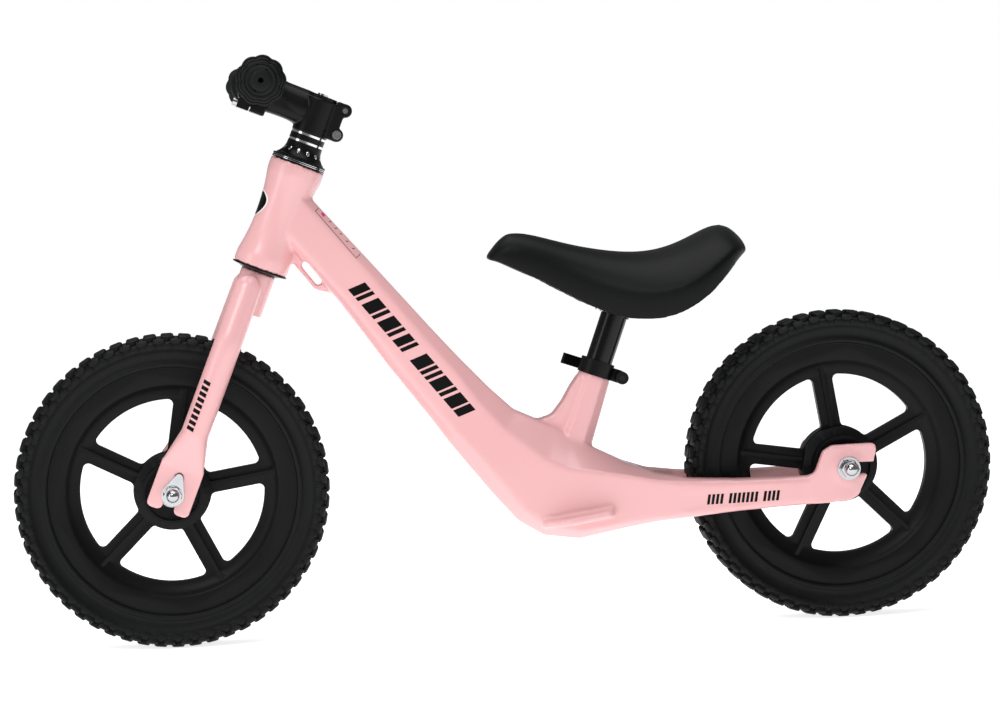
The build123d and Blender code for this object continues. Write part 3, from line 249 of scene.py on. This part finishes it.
def eased(node, material, body, width, angle=38, segments=2):
    """A machined or moulded piece: the solid with its edges eased by a width in millimetres."""
    bm = solid_copy(node)
    bmesh.ops.dissolve_limit(bm, angle_limit=math.radians(0.5), verts=bm.verts[:], edges=bm.edges[:])
    piece = settle(bm, node + "_eased", material, body, angle)
    bevel = piece.modifiers.new("ease", "BEVEL")
    bevel.width = width * MM
    bevel.segments = segments
    bevel.limit_method = "ANGLE"
    bevel.angle_limit = math.radians(angle)
    bevel.harden_normals = True
    bevel.use_clamp_overlap = True
    applied(piece)
    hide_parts(node)
    return piece


def keep(material, *names):
    """Gives solids that are shown as they are their finish."""
    for name in names:
        mesh = NODES[name].data
        mesh.materials.clear()
        mesh.materials.append(material)


# ------------------------------------------------------------------ casting and fork
casting = melted("frame", pink_paint, "frame", voxel=1.7, rounds=7, name="casting")
fork_skin = melted("fork", pink_paint, "steering", voxel=1.1, rounds=7, name="fork_skin")

# ------------------------------------------------------------------ wheels
TYRE_LINE = [
    (0, 112), (7, 112), (8, 115), (12, 115), (12.2, 115.8), (14.6, 116.2), (16.0, 117.2), (16.6, 118.8),
    (16.4, 120.3), (15.4, 121.4), (14.9, 122.6), (14.9, 125.0), (15.6, 128.0), (16.8, 130.4), (18.4, 132.2),
    (20.0, 133.6), (20.9, 135.4), (20.9, 137.6), (20.0, 139.8), (17.8, 141.4), (14.0, 142.4), (8, 143.2),
    (0, 143.5),
]
LUG_COUNT = 56
LUG_STEP = math.tau / LUG_COUNT
# turn, y, radius, size, tilt and twist (in degrees) of the rows on the left, from the side wall to the crown
TREAD_ROWS = [
    (0, 20.4, 136.4, (9.4, 2.8, 5.6), -6, 0),
    (LUG_STEP / 2, 18.9, 140.4, (11.0, 5.4, 6.8), -38, 0),
    (0, 13.6, 143.5, (11.6, 7.6, 6.2), -13, 12),
    (0, 4.9, 144.2, (11.6, 7.6, 6.2), 0, -14),
]


def tread_row(bm, centre, turn, y, radius, size, tilt, twist):
    """Adds a row of rounded tread blocks round the wheel.

    y, radius and size are in millimetres, and size is round the wheel, across it and deep. turn, tilt and
    twist are in radians.
    """
    made = bmesh.ops.create_cube(bm, size=1.0)["verts"]
    edges = list({edge for vert in made for edge in vert.link_edges})
    bmesh.ops.scale(bm, vec=[part * MM for part in size], verts=made)
    rounding = min(1.8, 0.44 * min(size)) * MM
    rounded = bmesh.ops.bevel(bm, geom=edges, offset=rounding, segments=2, profile=0.5, affect="EDGES",
                              material=-1)
    faces = list(set(rounded["faces"]) | {face for vert in made if vert.is_valid for face in vert.link_faces})
    verts = list({vert for face in faces for vert in face.verts})
    faces = list({face for vert in verts for face in vert.link_faces})
    verts = list({vert for face in faces for vert in face.verts})
    place = (Matrix.Translation(centre) @ Matrix.Rotation(turn, 4, "Y")
             @ Matrix.Translation((0, y * MM, radius * MM))
             @ Matrix.Rotation(tilt, 4, "X") @ Matrix.Rotation(twist, 4, "Z"))
    bmesh.ops.transform(bm, matrix=place, verts=verts)
    bmesh.ops.spin(bm, geom=verts + faces, cent=centre, axis=LEFT, angle=LUG_STEP * (LUG_COUNT - 1),
                   steps=LUG_COUNT - 1, use_duplicate=True)


def make_tyre(centre, name, body):
    """Foam tyre with a bead ridge, a hollow side wall and rows of blocks round the shoulder and crown."""
    line = TYRE_LINE + [(-y, radius) for y, radius in reversed(TYRE_LINE[1:-1])]
    bm = turned(line + line[:1], centre, LEFT, UP, 160)
    for side in (-1, 1):
        for turn, y, radius, size, tilt, twist in TREAD_ROWS:
            tread_row(bm, centre, turn, side * y, radius, size, side * math.radians(tilt),
                      side * math.radians(twist))
    tyre = settle(bm, name, eva_foam, body, 40)
    return tyre


for end, centre, body in (("front", FRONT_AXLE, "front_wheel"), ("rear", REAR_AXLE, "rear_wheel")):
    tyre = make_tyre(centre, f"{end}_tread", body)
    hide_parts(f"{end}_tyre")
    wheel = eased(f"{end}_rim", nylon, body, 0.9)

# ------------------------------------------------------------------ grips
FLANGE_DEPTH = 10 * MM  # from the outer end of a grip to the root of its flange
RIDGE_COUNT = 5
RIDGE_PITCH = 14
for side_name, side in (("left", 1), ("right", -1)):
    low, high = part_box(f"{side_name}_grip")
    centre = (low + high) / 2
    centre.y = high.y if side > 0 else low.y
    outward = LEFT * side
    flange = frame_of(centre - outward * FLANGE_DEPTH, outward)
    rings = [
        (-86, 11.2), (-86, 18.6), (-85, 19.3), (-82, 19.3), (-81, 18.4), (-80, 15.2), (-76, 14.9),
    ]
    for ridge in range(RIDGE_COUNT):
        start = -74 + ridge * RIDGE_PITCH
        rings += [(start, 15), (start + 0.8, 16.2), (start + 6.2, 16.2), (start + 7, 15)]
    rings += [
        (-2.5, 15), (-1.2, 17.5, 9, 0.3), (0, 20.9, 9, 0.6), (0.6, 21.7, 9, 0.75), (2.4, 21.8, 9, 0.75),
        (3.1, 21.1, 9, 0.75), (3.2, 20.2, 9, 0.7), (2.7, 19.8, 9, 0.7), (2.9, 19.2, 9, 0.7),
        (4.5, 19.1, 9, 0.7), (5.1, 18.5, 9, 0.7), (5.2, 17.7, 9, 0.6), (4.7, 17.3, 9, 0.6),
        (4.9, 16.8, 9, 0.6), (6.5, 16.7, 9, 0.6),
        (7.1, 16.1, 9, 0.5), (7.2, 14.6, 9, 0.3), (6.7, 13.8), (7.0, 13.3), (8.5, 12.9),
        (8.9, 12.3), (8.5, 11.6), (8.5, 9.8), (9.3, 9.3), (9.7, 8.6),
        (9.9, 4.0), (9.7, 2.6), (9.0, 2.1), (4.0, 2.0), (3.8, 0.2),
    ]
    grip = settle(loops(rings, flange), f"{side_name}_grip_rubber", grip_rubber, "steering", 40)
    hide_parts(f"{side_name}_grip")

# ------------------------------------------------------------------ headset, stem and fastenings
STEM_REACH = 60 * MM
STEM_RISE = 5 * MM
ARM_WIDTH_SHARE = 0.82  # the arm's width over its height
stem_middle = STEER_BASE + STEER_UP * (middle("stem") - STEER_BASE).dot(STEER_UP)
arm_line = STEER_OUT * STEM_REACH + STEER_UP * STEM_RISE
arm_plane = frame_of(stem_middle, arm_line.normalized())
arm_side = arm_plane.inverted().to_3x3() @ LEFT
narrow = Matrix.Scale(ARM_WIDTH_SHARE, 4, arm_side)
arm = loops([(2, 17.3), (15, 17.3), (24, 16.6), (34, 15.9), (46, 16.1)], arm_plane @ narrow, 48)
melted("stem", black_anodised, "steering", voxel=0.8, rounds=5, extra=arm)
eased("stem_faceplate", black_anodised, "steering", 0.6)
keep(bright_aluminium, "spacer_rings", "compression_ring")
keep(black_anodised, "upper_headset_cup", "lower_headset_cup", "headset_cover", "headset_spacer", "top_cap",
     "seat_clamp_nut", "crown_race")
keep(black_enamel, "handlebar", "seat_post", "saddle_bracket", "steerer_tube", "star_nut",
     "seat_clamp_skewer")
keep(chrome, "faceplate_bolts", "stem_clamp_bolts", "top_cap_bolt", "saddle_bolts")
keep(zinc, "upper_headset_bearing", "lower_headset_bearing", "front_bearings", "rear_bearings",
     "seat_clamp_cam_pin", "front_axle", "rear_axle", "front_hub_sleeve", "rear_hub_sleeve",
     "front_axle_spacers", "rear_axle_spacers")
for node in ("front_axle_nuts", "front_tab_washers"):
    eased(node, chrome, "steering", 0.4)
for node in ("rear_axle_nuts", "rear_axle_washers"):
    eased(node, chrome, "frame", 0.4)
eased("seat_clamp_collar", black_anodised, "frame", 0.7)
eased("seat_clamp_lever", black_anodised, "clamp_lever", 2.2, segments=4)
keep(nylon, "saddle_base")


# ------------------------------------------------------------------ headset cover with machined pockets
def steer_height(point):
    """How far a point is along the steering axis, in millimetres."""
    return (point - STEER_BASE).dot(STEER_UP) / MM


cover_corners = [vert.co for vert in NODES["headset_cover"].data.vertices]
cover_low = min(steer_height(corner) for corner in cover_corners)
COVER_LINE = [
    (14.3, 19.0), (16.2, 19.0), (16.7, 18.6), (16.9, 14.5), (17.6, 11.4), (19.0, 8.6), (20.9, 6.0),
    (22.6, 4.6), (23.0, 4.4), (23.1, 3.6), (24.9, 3.3), (25.6, 2.8), (25.6, 1.6), (25.0, 1.2), (25.5, 0.8),
    (25.5, 0.0), (17.4, 0.0),
]
cover_line = [(cover_low + up, radius) for radius, up in COVER_LINE]
cover = settle(turned(cover_line, STEER_BASE, STEER_UP, STEER_OUT, 96), "headset_cover_turned", black_anodised,
               "steering", 30)
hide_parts("headset_cover")

POCKET_COUNT = 12
POCKET_TURN = 15  # degrees from straight ahead to the first pocket
POCKET_LEAN = -26  # degrees, as the cover's side
steer_turn = Matrix((STEER_OUT, LEFT, STEER_UP)).transposed().to_4x4()
pocket_middle = Vector((17.6, 0, cover_low + 11.0)) * MM
pocket_lean = Matrix.Rotation(math.radians(POCKET_LEAN), 4, "Y")
pockets = bmesh.new()
for number in range(POCKET_COUNT):
    made = bmesh.ops.create_uvsphere(pockets, u_segments=16, v_segments=10, radius=1.0)["verts"]
    for vert in made:
        # drawn to a point at the top, like a drop
        pinch = 1 - 0.62 * max(0.0, vert.co.z) ** 1.5
        vert.co = Vector((vert.co.x * 0.55, vert.co.y * 1.75 * pinch, vert.co.z * 2.9)) * MM
    around = math.radians(POCKET_TURN + 360 / POCKET_COUNT * number)
    place = (Matrix.Translation(STEER_BASE) @ steer_turn @ Matrix.Rotation(around, 4, "Z")
             @ Matrix.Translation(pocket_middle) @ pocket_lean)
    bmesh.ops.transform(pockets, matrix=place, verts=made)
settle(closed_up(pockets), "headset_cover_pockets", bright_aluminium, "steering", 60)

# two thin bright lines, under the rim of the upper cup and round the foot of the cover
LINE_INNER, LINE_OUTER, LINE_WIDTH = 25.35, 25.75, 0.35
line_heights = (cover_low - 0.15, cover_low + 1.25)
for number, low in enumerate(line_heights):
    high = low + LINE_WIDTH
    section = [(low, LINE_INNER), (low, LINE_OUTER), (high, LINE_OUTER), (high, LINE_INNER), (low, LINE_INNER)]
    thread = turned(section, STEER_BASE, STEER_UP, STEER_OUT, 96)
    settle(thread, f"headset_bright_line_{number}", bright_aluminium, "steering" if number else "frame", 30)


# ------------------------------------------------------------------ prints on the paint
PRINT_START = 60 * MM  # how far out a print begins before it is laid down
PRINT_MISSED = PRINT_START * 0.95  # a corner still farther out than this found no surface


def print_on(name, bars, origin, along, up, out, base, ink, body, lift=0.12):
    """Flat shapes laid on a painted surface. Each bar is its corners, in mm along and up from the origin."""
    bm = bmesh.new()
    for corners in bars:
        bmesh.ops.contextual_create(bm, geom=[
            bm.verts.new(origin + along * x * MM + up * y * MM + out * PRINT_START) for x, y in corners])
    bmesh.ops.triangulate(bm, faces=bm.faces[:])
    bmesh.ops.subdivide_edges(bm, edges=bm.edges[:], cuts=3, use_grid_fill=True)
    piece = settle(bm, name, ink, body, 180)
    wrap = piece.modifiers.new("lay", "SHRINKWRAP")
    wrap.target = base
    wrap.wrap_method = "PROJECT"
    wrap.use_project_z = False
    sideways = abs(out.y) > 0.9
    wrap.use_project_y = sideways
    wrap.use_project_x = not sideways
    wrap.use_negative_direction = True
    wrap.use_positive_direction = True
    wrap.project_limit = 0.2
    wrap.offset = lift * MM
    applied(piece)
    # corners that found no surface under them stay where they began, and are taken away
    bm = bmesh.new()
    bm.from_mesh(piece.data)
    missed = [vert for vert in bm.verts if (vert.co - origin).dot(out) > PRINT_MISSED]
    bmesh.ops.delete(bm, geom=missed, context="VERTS")
    bm.to_mesh(piece.data)
    bm.free()


def slanted(start, width, height, lean):
    """The corners of one slanted bar, in millimetres."""
    return [(start, 0), (start + width, 0), (start + width + lean, height), (start + lean, height)]


def strokes(count, pitch, width, height, lean, gaps=()):
    """A row of slanted strokes in place of lettering, some left out for the spaces."""
    return [slanted(number * pitch, width, height, lean) for number in range(count) if number not in gaps]


# directions along and across the down tube, the fork leg and the stay, as the rows of strokes run
TUBE_DOWN = Vector((-0.630, 0, -0.777))
TUBE_RISE = Vector((-0.777, 0, 0.630))
LEG_DOWN = -STEER_UP
STAY_BACK = Vector((-1, 0, 0.024)).normalized()
WIDE_STROKES = [slanted(start, width, 16.5, 5.3) for start, width in (
    (0, 8.5), (10.5, 4.0), (19, 12), (33, 4), (41, 12), (55, 4), (63, 8.5), (73.5, 4), (88, 12), (102, 4),
    (108.5, 4), (115, 12), (129, 4), (136, 12), (150, 8))]
STAY_STROKES = strokes(17, 4.1, 2.6, 9.5, 1.6, (4, 12))
FORK_STROKES = strokes(9, 5.6, 3.6, 6.6, 1.2)
tube_start = FRONT_AXLE + Vector((-169.4, 0, 183.5)) * MM
stay_start = REAR_AXLE + Vector((136.0, 0, -29.2)) * MM
fork_start = FRONT_AXLE + Vector((-33.0, 0, 107.0)) * MM
for side_name, side in (("left", 1), ("right", -1)):
    out = LEFT * side
    print_on(f"tube_stripes_{side_name}", WIDE_STROKES, tube_start, TUBE_DOWN, TUBE_RISE, out, casting,
             black_ink, "frame")
    print_on(f"stay_stripes_{side_name}", STAY_STROKES, stay_start, STAY_BACK, UP, out, casting,
             black_ink, "frame")
    print_on(f"fork_stripes_{side_name}", FORK_STROKES, fork_start, LEG_DOWN, -STEER_OUT, out, fork_skin,
             black_ink, "steering")

# small label on the side of the down tube's top, with a thin border
label = FRONT_AXLE + Vector((-141.4, 0, 257.7)) * MM
border = [[(0, 0), (58.5, 0), (58.5, 0.45), (0, 0.45)], [(58.0, 0), (58.5, 0), (58.5, 5.6), (58.0, 5.6)],
          [(0, 0), (0.5, 0), (0.5, 5.6), (0, 5.6)]]
notes = [[(x, 3.4), (x + 0.7, 3.2), (x + 2.2, 5.0), (x + 1.5, 5.2)] for x in (16, 24, 31, 40, 49)]
print_on("label_border", border + notes, label, TUBE_DOWN, TUBE_RISE, LEFT, casting, black_ink, "frame")
mark = [(5.5, 2.6), (9.5, 2.2), (9.8, 5.2), (5.9, 5.6)]
print_on("label_mark", [mark], label, TUBE_DOWN, TUBE_RISE, LEFT, casting, magenta_ink, "frame")

# plain oval badge on the front of the head tube
BADGE_HEIGHT = 266 * MM  # above the steering axis's base point
OVAL_POINTS = 28
badge_middle = STEER_BASE + STEER_UP * BADGE_HEIGHT
for name, across_badge, up_badge, ink, lift in (("head_badge_rim", 16.0, 13.4, pale_ink, 0.12),
                                                ("head_badge", 14.6, 12.2, black_ink, 0.22)):
    turns = [math.tau * number / OVAL_POINTS for number in range(OVAL_POINTS)]
    oval = [(across_badge * math.cos(turn), up_badge * math.sin(turn)) for turn in turns]
    print_on(name, [oval], badge_middle, LEFT, STEER_UP, STEER_OUT, casting, ink, "frame", lift)

# ------------------------------------------------------------------ saddle
saddle = melted("saddle_pad", skin_foam, "seat", voxel=2.6, rounds=12, name="saddle_skin")
# the nose thins to an edge
NOSE_LENGTH = 24 * MM
NOSE_LIFT = 8.5 * MM  # from the lowest point of the nose to the level it thins to
NOSE_THINNING = 0.6
nose_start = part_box("saddle_pad")[1].x - NOSE_LENGTH
nose = [vert for vert in saddle.data.vertices if vert.co.x > nose_start]
nose_tip = min(vert.co.z for vert in nose) + NOSE_LIFT
for vert in nose:
    share = (vert.co.x - nose_start) / NOSE_LENGTH
    vert.co.z += NOSE_THINNING * min(share, 1.0) ** 2 * (nose_tip - vert.co.z)

# ------------------------------------------------------------------ floor, light and camera
bpy.ops.mesh.primitive_plane_add(size=40.0, location=(0, 0, 0))
floor = bpy.context.object
floor.name = "floor"
paper = surface("white paper sweep", "#ffffff", "#fdfdfd", 300, 3.0, 0.0, 0.9, 0.02, IOR=1.3,
                Specular_IOR_Level=0.0, Emission_Color=colour("#ffffff"), Emission_Strength=0.8)
floor.data.materials.append(paper)

# The camera sees a white sweep, and the object stands in a dimmer room, which keeps black pieces black.
world = bpy.data.worlds.new("studio")
world.use_nodes = True
tree = world.node_tree
sweep = tree.nodes["Background"]
sweep.inputs["Color"].default_value = colour("#ffffff")
room = add_node(tree, "ShaderNodeBackground", {"Color": colour("#f4f6f8"), "Strength": 0.22})
rays = add_node(tree, "ShaderNodeLightPath")
seen = add_node(tree, "ShaderNodeMixShader", None,
                {0: rays.outputs["Is Camera Ray"], 1: room.outputs[0], 2: sweep.outputs[0]})
tree.links.new(seen.outputs[0], tree.nodes["World Output"].inputs["Surface"])
bpy.context.scene.world = world
bpy.context.scene.view_settings.view_transform = "Standard"


def soft_box(name, place, target, width, height, power):
    """A rectangular light that faces a point. Places and sizes are in metres, power is in watts."""
    light = bpy.data.lights.new(name, "AREA")
    light.shape = "RECTANGLE"
    light.size = width
    light.size_y = height
    light.energy = power
    lamp = bpy.data.objects.new(name, light)
    lamp.matrix_world = frame_of(Vector(place), Vector(place) - Vector(target))
    bpy.context.scene.collection.objects.link(lamp)


soft_box("key", (1.1, 2.0, 2.0), (0, 0, 0.25), 1.4, 0.8, 22)
soft_box("top", (0.1, 0.1, 2.2), (0, 0, 0.2), 2.6, 1.6, 33)
soft_box("side", (2.1, 1.1, 0.7), (0.2, 0, 0.3), 0.7, 1.4, 7.5)

camera_data = bpy.data.cameras.new("camera")
camera_data.lens = 111.4
camera_data.sensor_width = 36
camera_data.clip_end = 60  # past the far edge of the floor
camera = bpy.data.objects.new("camera", camera_data)
forward = Vector((-0.10493, -0.99166, -0.07481)).normalized()
right = Vector((-0.99380, 0.10733, -0.02889)).normalized()
upward = right.cross(forward)
turn = Matrix((right, upward, -forward)).transposed().to_4x4()
camera.matrix_world = Matrix.Translation((0.3122, 2.904, 0.4835)) @ turn
bpy.context.scene.collection.objects.link(camera)
bpy.context.scene.camera = camera

bpy.context.view_layer.update()
